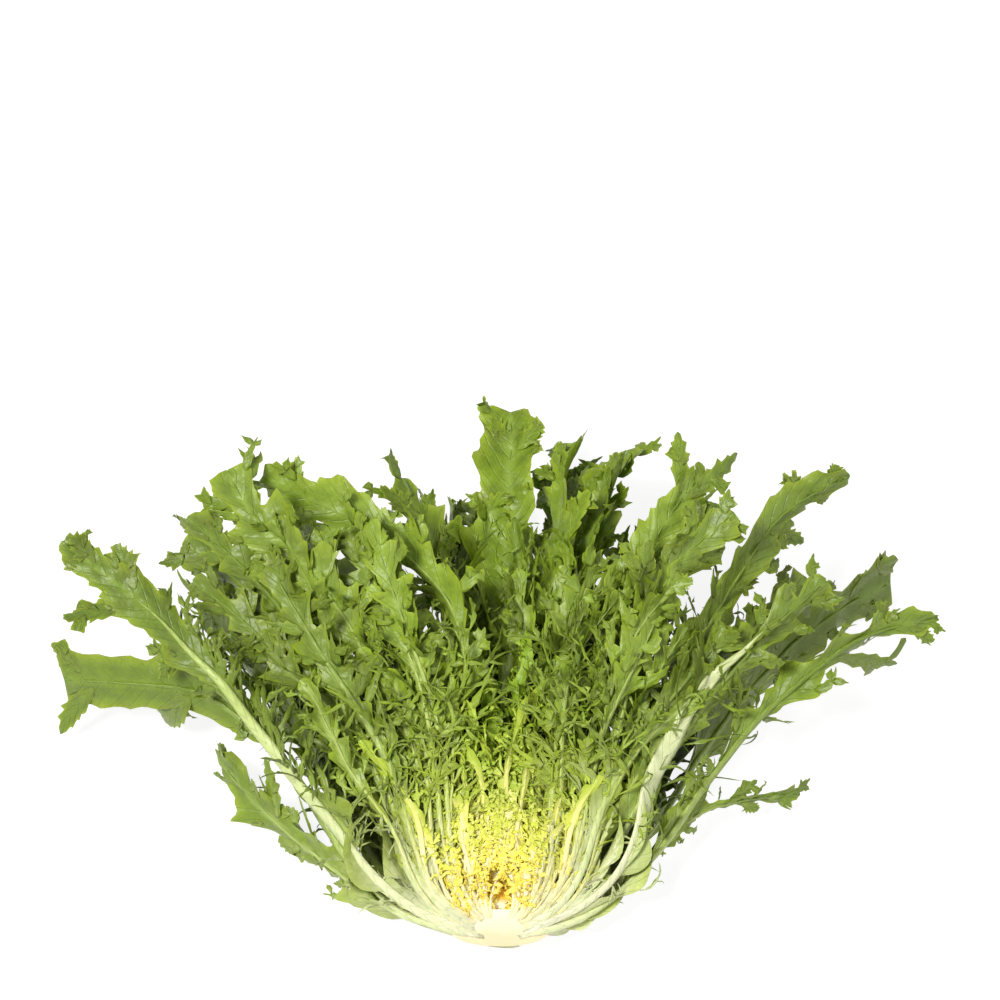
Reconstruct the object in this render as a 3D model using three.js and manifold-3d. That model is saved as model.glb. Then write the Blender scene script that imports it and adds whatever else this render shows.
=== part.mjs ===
// Half of a curly endive head, cut lengthwise through its crown and laid on its rounded back.
// Millimetres, +Z up. The table is z = 0 and the crown rests on a small flat at the origin.
// The trimmed butt points to -Y, the leaf tips fan out towards +Y and both sides of X, and the
// cut face looks up and towards -Y. Each leaf is its own solid, one on another like bowls.
import * as THREE from "three";
import { mergeVertices } from "three/addons/utils/BufferGeometryUtils.js";
import Module from "manifold-3d";

// Driving dimensions.
const headTilt = THREE.MathUtils.degToRad(25); // rise of the cut face from the butt to the tips
const crownRadius = 20; // widest part of the solid crown
const crownDome = 13; // height of the crown's dome, along the head's axis
const buttRadius = 19.5; // trimmed end
const buttLength = 8;
const buttRound = 6; // rounding of the trimmed end's rim
const crownFlat = 0.9; // depth of the flat that the crown rests on
const floorClear = 1.6; // height of the lowest midribs over the table
const settle = 0.38; // how much less the leaves behind the crown lean out, as they lie on the table
const pressSharpness = 14; // how suddenly a leaf bends where it meets the table
const layerStep = 2.6; // room between two rings pressed on each other by the table
const flop = 26; // how far the sides of the head flop outwards, deep leaves furthest
const flopDepth = 24; // depth over which the flop grows
const flopAcross = 40; // distance from the middle plane at which half of the flop is reached
const flopStart = 30; // distance from the axis where the flop starts, and where it is full
const flopFull = 130;
const footLean = 63; // degrees down the crown's dome where the main outer ring starts
const leafGap = 1.4; // room between the crown and the foot of a leaf
const pressStart = 1; // crown radii from the axis where rings start to lie on each other
const pressFull = 1.9;
const cellGap = 1.2; // degrees kept free between the leaves of a ring
const cutOverhang = 9; // degrees that a leaf by the cut may stand out over it
const bladeThickness = 1.1;
const spineStep = 4; // step of the walk along a midrib
const crownSides = 28; // facets of the crown, all the way round
const rimFacets = 4; // facets of the rounded rim, from the butt to the dome
const domeFacets = 5;
const outerGreenLean = 0.56; // lean at which a leaf is fully green

// The rings of leaves, from the table in. lean: how far the ring leans from the head's axis,
// where 1 is the main outer ring. around: each leaf's place round the axis in degrees, from the
// right-hand cut edge (0) through the back (90) to the left-hand cut edge (180).
// reach: each leaf's length. blade: widest blade. foot: width of the midrib at the crown.
const rings = [
  {
    name: "table_leaf",
    lean: 1.15,
    around: [14, 50, 90, 130, 166],
    reach: [112, 150, 134, 148, 108],
    blade: 46,
    foot: 8,
    lobes: 6,
  },
  {
    name: "outer_leaf",
    lean: 1.01,
    around: [9, 40, 71, 109, 140, 171],
    reach: [184, 182, 168, 168, 182, 184],
    blade: 46,
    foot: 9,
    lobes: 7,
  },
  {
    name: "rib_leaf",
    lean: 0.84,
    around: [1, 28, 58, 90, 122, 152, 179],
    reach: [186, 190, 184, 182, 184, 192, 210],
    blade: 42,
    foot: 9,
    lobes: 7,
  },
  {
    name: "broad_leaf",
    lean: 0.71,
    around: [11, 42, 74, 106, 138, 169],
    reach: [208, 196, 190, 190, 198, 186],
    blade: 40,
    foot: 7.5,
    lobes: 7,
  },
  {
    name: "tall_leaf",
    lean: 0.58,
    around: [4, 34, 62, 96, 134, 177],
    reach: [190, 194, 190, 188, 192, 208],
    blade: 36,
    foot: 7,
    lobes: 7,
  },
  {
    name: "middle_leaf",
    lean: 0.46,
    around: [8, 52, 90, 128, 172],
    reach: [206, 188, 202, 186, 202],
    blade: 34,
    foot: 6.5,
    lobes: 6,
  },
  {
    name: "young_leaf",
    lean: 0.35,
    around: [10, 50, 90, 130, 170],
    reach: [132, 142, 146, 140, 134],
    blade: 26,
    foot: 6,
    lobes: 6,
  },
  {
    name: "inner_leaf",
    lean: 0.25,
    around: [14, 62, 118, 166],
    reach: [92, 100, 98, 90],
    blade: 22,
    foot: 5,
    lobes: 5,
  },
  {
    name: "heart_leaf",
    lean: 0.15,
    around: [20, 90, 160],
    reach: [66, 70, 66],
    blade: 17,
    foot: 4,
    lobes: 4,
  },
  {
    name: "heart_tuft",
    lean: 0.04,
    around: [90],
    reach: [52],
    blade: 14,
    foot: 3,
    lobes: 4,
  },
];

// The lean of a leaf of the main outer ring, in degrees.
const middleLean = 46;
const footSpread = 16; // more at the crown, dying out along footSpreadLength
const footSpreadLength = 25;
const tipArch = 26; // more at archLength, growing with the cube of the distance
const archLength = 220;

// The plain shape of every leaf solid.
const petioleShare = 0.3; // share of the length that is bare midrib
const widestShare = 0.72;
const tipShare = 0.86; // where the tip starts to close
const tipBlunt = 0.25; // width of the tip to the widest
const betweenLobes = 0.62; // width between two lobes to the width at a lobe
const ribFlatness = 3.4; // width of a midrib to its thickness
const ribTaper = 0.75; // what a midrib loses of its thickness by the tip

// How far a leaf of the main outer ring leans out at a distance along its midrib, in radians:
// it leaves the crown nearly sideways, straightens, and arches over again towards the tip.
function outwardLean(along) {
  const spread = footSpread * Math.exp(-along / footSpreadLength);
  return THREE.MathUtils.degToRad(middleLean + spread + tipArch * (along / archLength) ** 3);
}

// The rounded rim of the butt is the lowest part of the crown, and rests over the origin.
const rimOut = buttRadius - buttRound;
const rimBack = buttLength - buttRound;
const crownHeight = rimOut * Math.cos(headTilt) + rimBack * Math.sin(headTilt) + buttRound - crownFlat;
const crownForward = rimBack * Math.cos(headTilt) - rimOut * Math.sin(headTilt);

// How deep the table, or the ring below, lets a leaf go at a place on its ring.
function depthLimit(layer, radius, axial) {
  const spread = THREE.MathUtils.smoothstep(radius, pressStart * crownRadius, pressFull * crownRadius);
  const height = crownHeight + axial * Math.sin(headTilt) - floorClear - layer * layerStep * spread;
  return height / Math.cos(headTilt);
}

// A point of a ring: a distance along its midribs, at an angle round the axis (0 right, 180 left).
function pointOf(layer, along, around) {
  const angle = THREE.MathUtils.degToRad(around);
  const foot = THREE.MathUtils.degToRad(rings[layer].lean * footLean);
  const lean = rings[layer].lean * (1 - settle * Math.sin(angle) ** 2);
  let radius = (crownRadius + leafGap) * Math.sin(foot);
  let axial = (crownDome + leafGap) * Math.cos(foot);
  for (let walked = 0; walked < along; walked += spineStep) {
    const step = Math.min(spineStep, along - walked);
    radius += Math.sin(lean * outwardLean(walked + step / 2)) * step;
    axial += Math.cos(lean * outwardLean(walked + step / 2)) * step;
  }
  const across = radius * Math.cos(angle);
  const free = radius * Math.sin(angle);
  const pressed = Math.max(0, free / depthLimit(layer, radius, axial));
  const depth = free / (1 + pressed ** pressSharpness) ** (1 / pressSharpness);
  const spread = THREE.MathUtils.smoothstep(radius, flopStart, flopFull);
  const flopped = flop * Math.tanh(depth / flopDepth) * spread;
  return new THREE.Vector3(across + (flopped * across) / (Math.abs(across) + flopAcross), axial, -depth);
}

// Half width of a leaf at a share of its length: a bare midrib, a lobed blade and a blunt tip.
function halfWidthOf(ring, share, station) {
  const stem = (ring.foot / 2) * (1 - ribTaper * share);
  const grown = THREE.MathUtils.smoothstep(share, petioleShare, widestShare);
  const closing = 1 - (1 - tipBlunt) * THREE.MathUtils.smoothstep(share, tipShare, 1);
  const lobed = station % 2 ? 1 : betweenLobes;
  return Math.max(stem, (ring.blade / 2) * grown * closing * lobed);
}

// A leaf: a box of three.js, bent on to its ring and kept inside its own cell of it.
function leafSolid(ring, layer, index) {
  const { around: places, lobes, foot } = ring;
  const around = places[index];
  const reach = ring.reach[index];
  const low = index ? (places[index - 1] + around) / 2 + cellGap : -cutOverhang;
  const high = index + 1 < places.length ? (places[index + 1] + around) / 2 - cellGap : 180 + cutOverhang;
  const stations = lobes * 2;
  const box = new THREE.BoxGeometry(2, 1, 2, 2, stations, 1).toNonIndexed();
  const onRing = (along, degrees) => pointOf(layer, THREE.MathUtils.clamp(along, 0, reach), degrees);
  const place = box.getAttribute("position");
  const corner = new THREE.Vector3();
  for (let i = 0; i < place.count; i++) {
    corner.fromBufferAttribute(place, i);
    const share = corner.y + 0.5;
    const along = share * reach;
    const perDegree = onRing(along, around + 2).distanceTo(onRing(along, around - 2)) / 4;
    const wide = halfWidthOf(ring, share, Math.round(share * stations)) / perDegree;
    const turned = THREE.MathUtils.clamp(around - corner.x * wide, low, high);
    const at = onRing(along, turned);
    const alongWay = onRing(along + 1, turned).sub(onRing(along - 1, turned));
    const roundWay = onRing(along, turned + 1).sub(onRing(along, turned - 1));
    const outward = alongWay.cross(roundWay).normalize();
    const rib = (foot / ribFlatness) * (1 - ribTaper * share);
    const thickness = bladeThickness + Math.max(0, rib - bladeThickness) * (1 - Math.abs(corner.x));
    at.addScaledVector(outward, (corner.z * thickness) / 2);
    place.setXYZ(i, at.x, at.y, at.z);
  }
  return closed(box);
}

// The vertices merged, so that the faces close.
function closed(geometry) {
  geometry.deleteAttribute("normal");
  geometry.deleteAttribute("uv");
  return mergeVertices(geometry, 1e-3);
}

const wasm = await Module();
wasm.setup();

function toManifold(geometry) {
  return new wasm.Manifold(
    new wasm.Mesh({
      numProp: 3,
      vertProperties: geometry.getAttribute("position").array,
      triVerts: new Uint32Array(geometry.index.array),
    }),
  );
}

function fromManifold(solid) {
  const mesh = solid.getMesh();
  return new THREE.BufferGeometry()
    .setAttribute("position", new THREE.BufferAttribute(mesh.vertProperties, 3))
    .setIndex(new THREE.BufferAttribute(mesh.triVerts, 1));
}

// From the head's own frame (x right, y along the axis, z out of the cut face) to the table's.
const headPlace = new THREE.Matrix4()
  .makeTranslation(0, crownForward, crownHeight)
  .multiply(new THREE.Matrix4().makeRotationX(headTilt));

// The solid crown: a domed, trimmed stem, halved by the cut and flattened where it rests.
function crownSolid() {
  const profile = [new THREE.Vector2(0, -buttLength)];
  for (let turn = 0; turn <= rimFacets; turn++) {
    const angle = (turn * Math.PI) / 2 / rimFacets;
    const out = rimOut + buttRound * Math.sin(angle);
    profile.push(new THREE.Vector2(out, -rimBack - buttRound * Math.cos(angle)));
  }
  for (let turn = domeFacets; turn > 0; turn--) {
    const angle = (turn * Math.PI) / 2 / domeFacets;
    profile.push(new THREE.Vector2(crownRadius * Math.sin(angle), crownDome * Math.cos(angle)));
  }
  profile.push(new THREE.Vector2(0, crownDome));
  const whole = toManifold(closed(new THREE.LatheGeometry(profile, crownSides)));
  const half = 100;
  const above = new THREE.BoxGeometry(2 * half, 2 * half, half).translate(0, 0, half / 2);
  const below = new THREE.BoxGeometry(2 * half, 2 * half, half).translate(0, 0, -half / 2);
  const halved = fromManifold(whole.subtract(toManifold(closed(above)))).applyMatrix4(headPlace);
  return fromManifold(toManifold(halved).subtract(toManifold(closed(below))));
}

// Yellow in the heart, green outside.
const heartColour = new THREE.Color("#f2e24a");
const outerColour = new THREE.Color("#6f8f2e");
const leafColour = (lean) => heartColour.clone().lerp(outerColour, Math.min(1, lean / outerGreenLean));

const head = new THREE.Group();

function add(name, geometry, colour, roughness) {
  const material = new THREE.MeshStandardMaterial({ color: colour, roughness, metalness: 0 });
  const mesh = new THREE.Mesh(geometry, material);
  mesh.name = name;
  head.add(mesh);
}

add("crown", crownSolid(), "#fbf6dc", 0.45);
rings.forEach((ring, layer) => {
  ring.around.forEach((around, i) => {
    const leaf = leafSolid(ring, layer, i).applyMatrix4(headPlace);
    const name = ring.around.length > 1 ? `${ring.name}_${i + 1}` : ring.name;
    add(name, leaf, leafColour(ring.lean), 0.6);
  });
});

export default head;
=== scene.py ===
# Half of a curly endive head, cut lengthwise through its crown and laid on its rounded back.
# Leaf shapes are worked out in millimetres in the head's own frame: x to the right, y along the
# head's axis towards the leaf tips, z out of the cut face. They are placed in metres at the end.
import math

import bmesh
import bpy
import numpy as np
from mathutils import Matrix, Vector


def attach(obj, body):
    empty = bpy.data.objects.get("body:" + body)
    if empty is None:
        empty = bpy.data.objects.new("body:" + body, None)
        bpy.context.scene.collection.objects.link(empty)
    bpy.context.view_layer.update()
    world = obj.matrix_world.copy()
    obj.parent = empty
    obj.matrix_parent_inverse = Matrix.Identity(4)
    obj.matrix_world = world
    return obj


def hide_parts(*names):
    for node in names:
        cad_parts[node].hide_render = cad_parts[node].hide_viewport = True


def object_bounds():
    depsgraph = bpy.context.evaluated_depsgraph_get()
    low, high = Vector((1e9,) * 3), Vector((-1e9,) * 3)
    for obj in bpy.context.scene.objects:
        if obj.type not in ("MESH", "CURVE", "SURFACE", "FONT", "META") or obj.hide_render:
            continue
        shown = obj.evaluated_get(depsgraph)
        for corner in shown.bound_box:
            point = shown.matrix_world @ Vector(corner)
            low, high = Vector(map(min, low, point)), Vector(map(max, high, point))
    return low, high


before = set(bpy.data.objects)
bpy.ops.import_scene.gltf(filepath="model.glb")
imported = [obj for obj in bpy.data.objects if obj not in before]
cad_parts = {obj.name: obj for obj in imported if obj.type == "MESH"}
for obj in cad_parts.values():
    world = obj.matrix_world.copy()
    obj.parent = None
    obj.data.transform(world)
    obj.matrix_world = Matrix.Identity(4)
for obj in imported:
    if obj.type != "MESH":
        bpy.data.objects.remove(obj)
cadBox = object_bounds()
mm = 0.001
print("frame loaded:", len(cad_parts), "parts")

headShape = {
    "tilt": 25,  # degrees that the cut face rises from the butt to the tips
    "crownRadius": 20,
    "crownDome": 13,
    "buttRadius": 19.5,
    "buttLength": 8,
    "buttRound": 6,
    "crownFlat": 0.9,
    "floorClear": 1.6,
    "settle": 0.38,  # how much less the leaves at the back lean out
    "pressSharpness": 14,
    "pressStart": 1.0,
    "pressFull": 1.9,
    "layerStep": 2.6,
    "flop": 26,  # how far the sides of the head flop outwards
    "flopDepth": 24,
    "flopAcross": 40,
    "flopStart": 30,
    "flopFull": 130,
    "footLean": 63,
    "leafGap": 1.4,
    "middleLean": 46,
    "footSpread": 16,
    "footSpreadLength": 25,
    "tipArch": 26,
    "archLength": 220,
    "footSwing": 9,  # degrees that the feet of the outer leaves lie lower than a straight fan
    "swingReach": (18, 60),
    "swingAngle": (8, 52),
}
pressRoom = {  # the room that the leaves are pressed into
    "floorSoft": 6,  # height below which leaves bend to lie on the table
    "top": cadBox[1].z / mm - 4,
    "side": cadBox[1].x / mm - 2,
    "give": 6,
}
cutFace = {
    "flatTo": 45,  # distance from the crown up to which the cut left nothing standing out
    "freeFrom": 130,
    "proud": 16,  # how far leaves spring out of the cut beyond that
    "ribProud": 1.3,
    "curlFrom": (8, 13),  # where curls start to stand out of the cut, and where they do fully
    "crownEdge": (0.4, 0.72),  # where the midribs sink into the crown, in crown radii
    "sunk": 1.2,
    "give": 2.5,
}


def smooth(x, low, high):
    s = np.clip((x - low) / (high - low), 0, 1)
    return s * s * (3 - 2 * s)


def unit(v):
    return v / np.maximum(np.linalg.norm(v, axis=-1, keepdims=True), 1e-9)


def across(v, ahead):
    # the part of a direction that is square to another, as a unit vector
    return unit(v - ahead * np.sum(v * ahead, -1, keepdims=True))


def rotate(v, axis, angle):
    c = np.cos(angle)[..., None]
    s = np.sin(angle)[..., None]
    along = np.sum(v * axis, -1, keepdims=True)
    return v * c + np.cross(axis, v) * s + axis * along * (1 - c)


tilt = math.radians(headShape["tilt"])
rimOut = headShape["buttRadius"] - headShape["buttRound"]
rimBack = headShape["buttLength"] - headShape["buttRound"]
crownHeight = (
    rimOut * math.cos(tilt) + rimBack * math.sin(tilt) + headShape["buttRound"] - headShape["crownFlat"]
)
crownForward = rimBack * math.cos(tilt) - rimOut * math.sin(tilt)


def ringPath(lean, layer, around, walk):
    # points of a ring, for distances walked from the crown (last axis) at angles round the axis
    h = headShape
    angle = np.radians(around) * np.ones_like(walk)
    foot = np.radians(lean * h["footLean"])
    leanHere = lean * (1 - h["settle"] * np.sin(angle) ** 2)
    middle = (walk[..., 1:] + walk[..., :-1]) / 2
    spread = h["footSpread"] * np.exp(-middle / h["footSpreadLength"])
    arch = h["tipArch"] * (middle / h["archLength"]) ** 3
    outward = np.radians(h["middleLean"] + spread + arch) * (leanHere[..., 1:] + leanHere[..., :-1]) / 2
    step = np.diff(walk, axis=-1)
    start = np.zeros(walk.shape[:-1] + (1,))
    radius = np.concatenate([start, np.cumsum(np.sin(outward) * step, -1)], -1)
    axial = np.concatenate([start, np.cumsum(np.cos(outward) * step, -1)], -1)
    radius = radius + (h["crownRadius"] + h["leafGap"]) * np.sin(foot)
    axial = axial + (h["crownDome"] + h["leafGap"]) * np.cos(foot)
    away = smooth(radius, h["pressStart"] * h["crownRadius"], h["pressFull"] * h["crownRadius"])
    height = crownHeight + axial * math.sin(tilt) - h["floorClear"] - layer * h["layerStep"] * away
    limit = height / math.cos(tilt)
    sideways = radius * np.cos(angle)
    free = radius * np.sin(angle)
    sharp = h["pressSharpness"]
    pressed = np.maximum(free / limit, 0)
    depth = free / (1 + pressed**sharp) ** (1 / sharp)
    flopped = h["flop"] * np.tanh(depth / h["flopDepth"]) * smooth(radius, h["flopStart"], h["flopFull"])
    sideways = sideways + flopped * sideways / (np.abs(sideways) + h["flopAcross"])
    return np.stack([sideways, axial, -depth], -1)


def toTable(points):
    # from the head's frame in millimetres to the table's frame in metres
    x, y, z = points[..., 0], points[..., 1], points[..., 2]
    forward = crownForward + y * math.cos(tilt) - z * math.sin(tilt)
    up = crownHeight + y * math.sin(tilt) + z * math.cos(tilt)
    low, give = pressRoom["floorSoft"], pressRoom["give"]
    up = np.where(up < low, low * np.exp((up - low) / low), up)
    over = np.maximum(up - pressRoom["top"], 0)
    up = up - over + give * np.tanh(over / give)
    side = np.maximum(np.abs(x) - pressRoom["side"], 0)
    x = np.sign(x) * (np.abs(x) - side + give * np.tanh(side / give))
    return np.stack([x, forward, up], -1) * mm


class Piece:
    # one piece of the head: every blade, rib and curl is a closed ribbon with a lens-shaped section
    def __init__(self, name, curlProud=0.0):
        self.name = name
        self.curlProud = curlProud  # how far curls stand out of the cut, in front of the ribs
        self.points = []
        self.quads = []
        self.caps = []
        self.data = {"rib": [], "under": [], "tone": [], "edge": [], "veinAlong": [], "away": []}
        self.count = 0

    def addRibbons(self, path, side, face, left, right, thick, lift=None, push=None,
                   columns=5, rib=0.0, tone=0.5, nearer=1.0):
        # path, side and face: (ribbons, rows, 3); left, right and thick: (ribbons, rows)
        ribbonCount, rows = path.shape[:2]
        u = np.linspace(-1, 1, columns)
        ahead = unit(np.gradient(path, axis=1))
        wide = np.where(u < 0, left[..., None] * u, right[..., None] * u)
        at = path[:, :, None] + side[:, :, None] * wide[..., None]
        if lift is not None:
            at = at + face[:, :, None] * lift[..., None]
        if push is not None:
            at = at + ahead[:, :, None] * push[..., None]
        normal = unit(np.cross(np.gradient(at, axis=1), np.gradient(at, axis=2)))  # of the bent sheet
        half = thick[..., None] / 2 * np.sqrt(1 - u**2)
        top = at + normal * half[..., None]
        under = (at - normal * half[..., None])[:, :, 1:-1][:, :, ::-1]
        ring = np.concatenate([top, under], 2)
        size = ring.shape[2]
        index = np.arange(ribbonCount * rows * size).reshape(ribbonCount, rows, size) + self.count
        a, b = index[:, :-1], index[:, 1:]
        self.quads.append(np.stack([a, b, np.roll(b, -1, 2), np.roll(a, -1, 2)], -1).reshape(-1, 4))
        self.caps += [index[:, 0], index[:, -1, ::-1]]
        self.points.append(ring.reshape(-1, 3))
        self.count += ring.size // 3
        order = np.concatenate([np.arange(columns), np.arange(columns - 2, 0, -1)])
        steps = np.linalg.norm(np.diff(path, axis=1), axis=-1)
        walked = np.concatenate([np.zeros((ribbonCount, 1)), np.cumsum(steps, 1)], 1)
        marks = {
            "rib": rib if np.ndim(rib) == 0 else rib[:, :, order],
            "under": np.concatenate([np.zeros(columns), np.ones(columns - 2)]),
            "tone": np.reshape(tone, (-1, 1, 1)),
            "edge": np.abs(u)[order],
            "veinAlong": walked[..., None],
            "away": nearer * np.linalg.norm(ring, axis=-1),
        }
        for key, values in marks.items():
            self.data[key].append(np.broadcast_to(values, (ribbonCount, rows, size)).ravel())
        return at, normal

    def pressed(self, points, rib):
        # what stands out of the cut face is pressed back, and the feet sink into the crown
        away = np.hypot(points[:, 0], points[:, 1])
        limit = cutFace["proud"] * smooth(away, cutFace["flatTo"], cutFace["freeFrom"])
        limit = limit + cutFace["ribProud"] * (rib > 0.99)
        limit = limit + self.curlProud * smooth(away, *cutFace["curlFrom"]) * (rib < 0.99)
        end = np.where(points[:, 1] > 0, crownLooks["dome"], headShape["buttLength"])
        within = np.hypot(points[:, 0] / headShape["crownRadius"], points[:, 1] / end)
        sunk = 1 - smooth(within, *cutFace["crownEdge"])
        limit = limit * (1 - sunk) - cutFace["sunk"] * sunk
        over = points[:, 2] - (limit - cutFace["give"])
        held = limit - cutFace["give"] + cutFace["give"] * np.tanh(over / cutFace["give"])
        points[:, 2] = np.where(over > 0, held, points[:, 2])
        return toTable(points)

    def make(self, material, nodes):
        rib = np.concatenate(self.data["rib"])
        points = self.pressed(np.concatenate(self.points), rib)
        mesh = bpy.data.meshes.new(self.name)
        faces = [np.concatenate(self.quads)] + self.caps
        loops = np.concatenate([part.ravel() for part in faces]).astype(np.int32)
        totals = np.concatenate([np.full(len(part), part.shape[1]) for part in faces])
        starts = np.concatenate([[0], np.cumsum(totals)[:-1]]).astype(np.int32)
        mesh.vertices.add(len(points))
        mesh.vertices.foreach_set("co", points.astype(np.float32).ravel())
        mesh.loops.add(len(loops))
        mesh.loops.foreach_set("vertex_index", loops)
        mesh.polygons.add(len(totals))
        mesh.polygons.foreach_set("loop_start", starts)
        mesh.polygons.foreach_set("use_smooth", np.ones(len(totals), bool))
        mesh.update(calc_edges=True)
        margin = (np.concatenate(self.data["edge"]) > 0.999) & (rib < 0.99)
        ends = np.zeros(2 * len(mesh.edges), np.int32)
        mesh.edges.foreach_get("vertices", ends)
        ends = ends.reshape(-1, 2)
        sharp = mesh.attributes.new("sharp_edge", "BOOLEAN", "EDGE")
        sharp.data.foreach_set("value", margin[ends[:, 0]] & margin[ends[:, 1]])
        for key, values in self.data.items():
            mark = mesh.attributes.new(key, "FLOAT", "POINT")
            mark.data.foreach_set("value", np.concatenate(values).astype(np.float32))
        made = bpy.data.objects.new(self.name, mesh)
        bpy.context.scene.collection.objects.link(made)
        mesh.materials.append(material)
        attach(made, "root")
        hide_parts(*nodes)
        return made


def sawEdge(rng, share, first, last, count, sharp=1.7, peak=0.66, uneven=0.35):
    # uneven pointed teeth between two shares of the length: 0 in a notch, up to 1 at a point;
    # then the height of the tooth at each share
    knots = np.linspace(first, last, count + 1)
    gap = (last - first) / count
    knots[1:-1] += rng.uniform(-0.28, 0.28, count - 1) * gap
    height = 1 - uneven * rng.random(count)
    which = np.clip(np.searchsorted(knots, share, side="right") - 1, 0, count - 1)
    part = np.clip((share - knots[which]) / (knots[which + 1] - knots[which]), 0, 1)
    rise = np.where(part < peak, (part / peak) ** sharp, ((1 - part) / (1 - peak)) ** sharp)
    return height[which] * rise * ((share >= first) & (share <= last)), height[which]


def waves(rng, share, parts=3, low=0.6, high=3.0):
    # a slow wander, about -1 to 1
    total = np.zeros_like(share)
    for i in range(parts):
        total += np.sin(2 * np.pi * (rng.uniform(low, high) * share + rng.random())) / (i + 1)
    return total / sum(1 / (i + 1) for i in range(parts))


def curlPaths(start, ahead, face, length, hook, curl, twist, rows):
    # curving paths grown step by step: hook bends in the leaf's plane, curl out of it
    paths, sides, faces = [], [], []
    at = start.copy()
    for _ in range(rows):
        side = np.cross(face, ahead)
        paths.append(at)
        sides.append(side)
        faces.append(face)
        at = at + ahead * (length / (rows - 1))[:, None]
        ahead = rotate(ahead, face, hook / (rows - 1))
        side = np.cross(face, ahead)
        ahead = rotate(ahead, side, -curl / (rows - 1))
        face = rotate(face, side, -curl / (rows - 1))
        face = rotate(face, ahead, twist / (rows - 1))
        ahead = unit(ahead)
        face = across(face, ahead)
    return np.stack(paths, 1), np.stack(sides, 1), np.stack(faces, 1)


def rootAt(surface, normal, ahead, row, column, handed, out, rise):
    # start, direction and face of lobes that grow out of a blade, in the blade's own plane
    up = normal[row, column]
    forward = across(ahead[row], up)
    direction = forward * np.cos(out) + np.cross(up, forward) * handed * np.sin(out)
    direction = unit(direction * np.cos(rise) + up * np.sin(rise))
    return surface[row, column], direction, across(up, direction)


lobeShape = {
    "teethAlong": (0.1, 0.98),
    "toothSharp": 1.4,
    "toothPeak": 0.6,
    "toothUneven": 0.6,
    "notch": 0.45,  # how much of the teeth's depth is cut out of the lobe
    "bluntest": 0.05,  # width left at the tip
    "thinAtTip": 0.6,
}
forkShape = {
    "alongRows": (0.25, 0.8),  # where on its lobe a fork grows
    "spread": (28, 66),  # degrees from the lobe
    "wide": 0.72,  # to the lobe's width
    "leastRows": 5,
    "columns": 3,
}


def addLobes(piece, rng, start, ahead, face, length, wide, style, handed, leafTone, level=0):
    # side lobes: narrow toothed ribbons that hook forwards and curl
    count = len(start)
    rows = style["rows"] if level == 0 else max(forkShape["leastRows"], style["rows"] // 2)
    hook = -handed * np.radians(rng.normal(style["hook"], style["hookSpread"], count))
    curl = np.radians(rng.normal(style["curl"], style["curlSpread"], count))
    twist = handed * np.radians(rng.normal(style["twist"], style["twistSpread"], count))
    path, side, faces = curlPaths(start, ahead, face, length, hook, curl, twist, rows)
    share = np.linspace(0, 1, rows)
    swell = style["swell"]
    base = style["neck"] + (1 - style["neck"]) * smooth(share, 0, swell)
    point = np.clip((share - swell) / (1 - swell), 0, 1)
    blunt = lobeShape["bluntest"]
    closing = np.clip(1 - point ** style["pointed"], 0, 1) ** style["taper"] * (1 - blunt) + blunt
    saw = [style["teeth"], lobeShape["toothSharp"], lobeShape["toothPeak"], lobeShape["toothUneven"]]
    deep = style["toothDepth"]
    widths = []
    for _ in (0, 1):
        teeth = [sawEdge(rng, share, *lobeShape["teethAlong"], *saw)[0] for _ in range(count)]
        sawn = 1 - lobeShape["notch"] * deep + deep * np.stack(teeth)
        widths.append(wide[:, None] * base * closing * sawn)
    thick = style["thin"] * (1.3 - lobeShape["thinAtTip"] * share)[None] * np.ones((count, 1))
    thick = np.minimum(thick, wide[:, None] * closing * 0.9)
    columns = style["columns"] if level == 0 else forkShape["columns"]
    u = np.abs(np.linspace(-1, 1, columns))[None, None]
    lift = style["channel"] * u**1.5 * (widths[0] * smooth(share, 0.1, 0.5))[..., None]
    push = u**1.6 * (widths[0] + widths[1])[..., None] * style["sweep"]
    tone = leafTone + style["toneSpread"] * (rng.random(count) - leafTone)
    pale = (1 - smooth(u, 0.0, 0.5)) * (1 - share)[None, :, None] * style["paleRib"]
    pale = pale * np.ones((count, 1, 1))
    piece.addRibbons(path, side, faces, *widths, thick, lift, push, columns, pale, tone)
    if level < style["forks"]:
        addForks(piece, rng, path, side, faces, length, wide, style, leafTone, level + 1)


def addForks(piece, rng, path, side, faces, length, wide, style, leafTone, level):
    # smaller lobes that branch off lobes, on both of their sides
    count, rows = path.shape[:2]
    low, high = forkShape["alongRows"]
    for handed in (-1, 1):
        keep = np.flatnonzero(rng.random(count) < style["forkShare"])
        if not len(keep):
            continue
        row = rng.integers(int(rows * low), int(rows * high), len(keep))
        forward = unit(path[keep, np.minimum(row + 1, rows - 1)] - path[keep, row - 1])
        spread = np.radians(rng.uniform(*forkShape["spread"], len(keep)))[:, None]
        direction = unit(forward * np.cos(spread) + side[keep, row] * handed * np.sin(spread))
        up = across(faces[keep, row], direction)
        long = length[keep] * rng.uniform(*style["forkLength"], len(keep))
        narrow = wide[keep] * forkShape["wide"]
        start, hands = path[keep, row], np.full(len(keep), handed)
        addLobes(piece, rng, start, direction, up, long, narrow, style, hands, leafTone, level)


def turned(path, turn, longer=1):
    # a path turned to the right in the plane of the cut, and stretched
    x = (path[:, 0] * np.cos(turn) + path[:, 1] * np.sin(turn)) * longer
    y = (-path[:, 0] * np.sin(turn) + path[:, 1] * np.cos(turn)) * longer
    return np.stack([x, y, path[:, 2]], -1)


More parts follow.
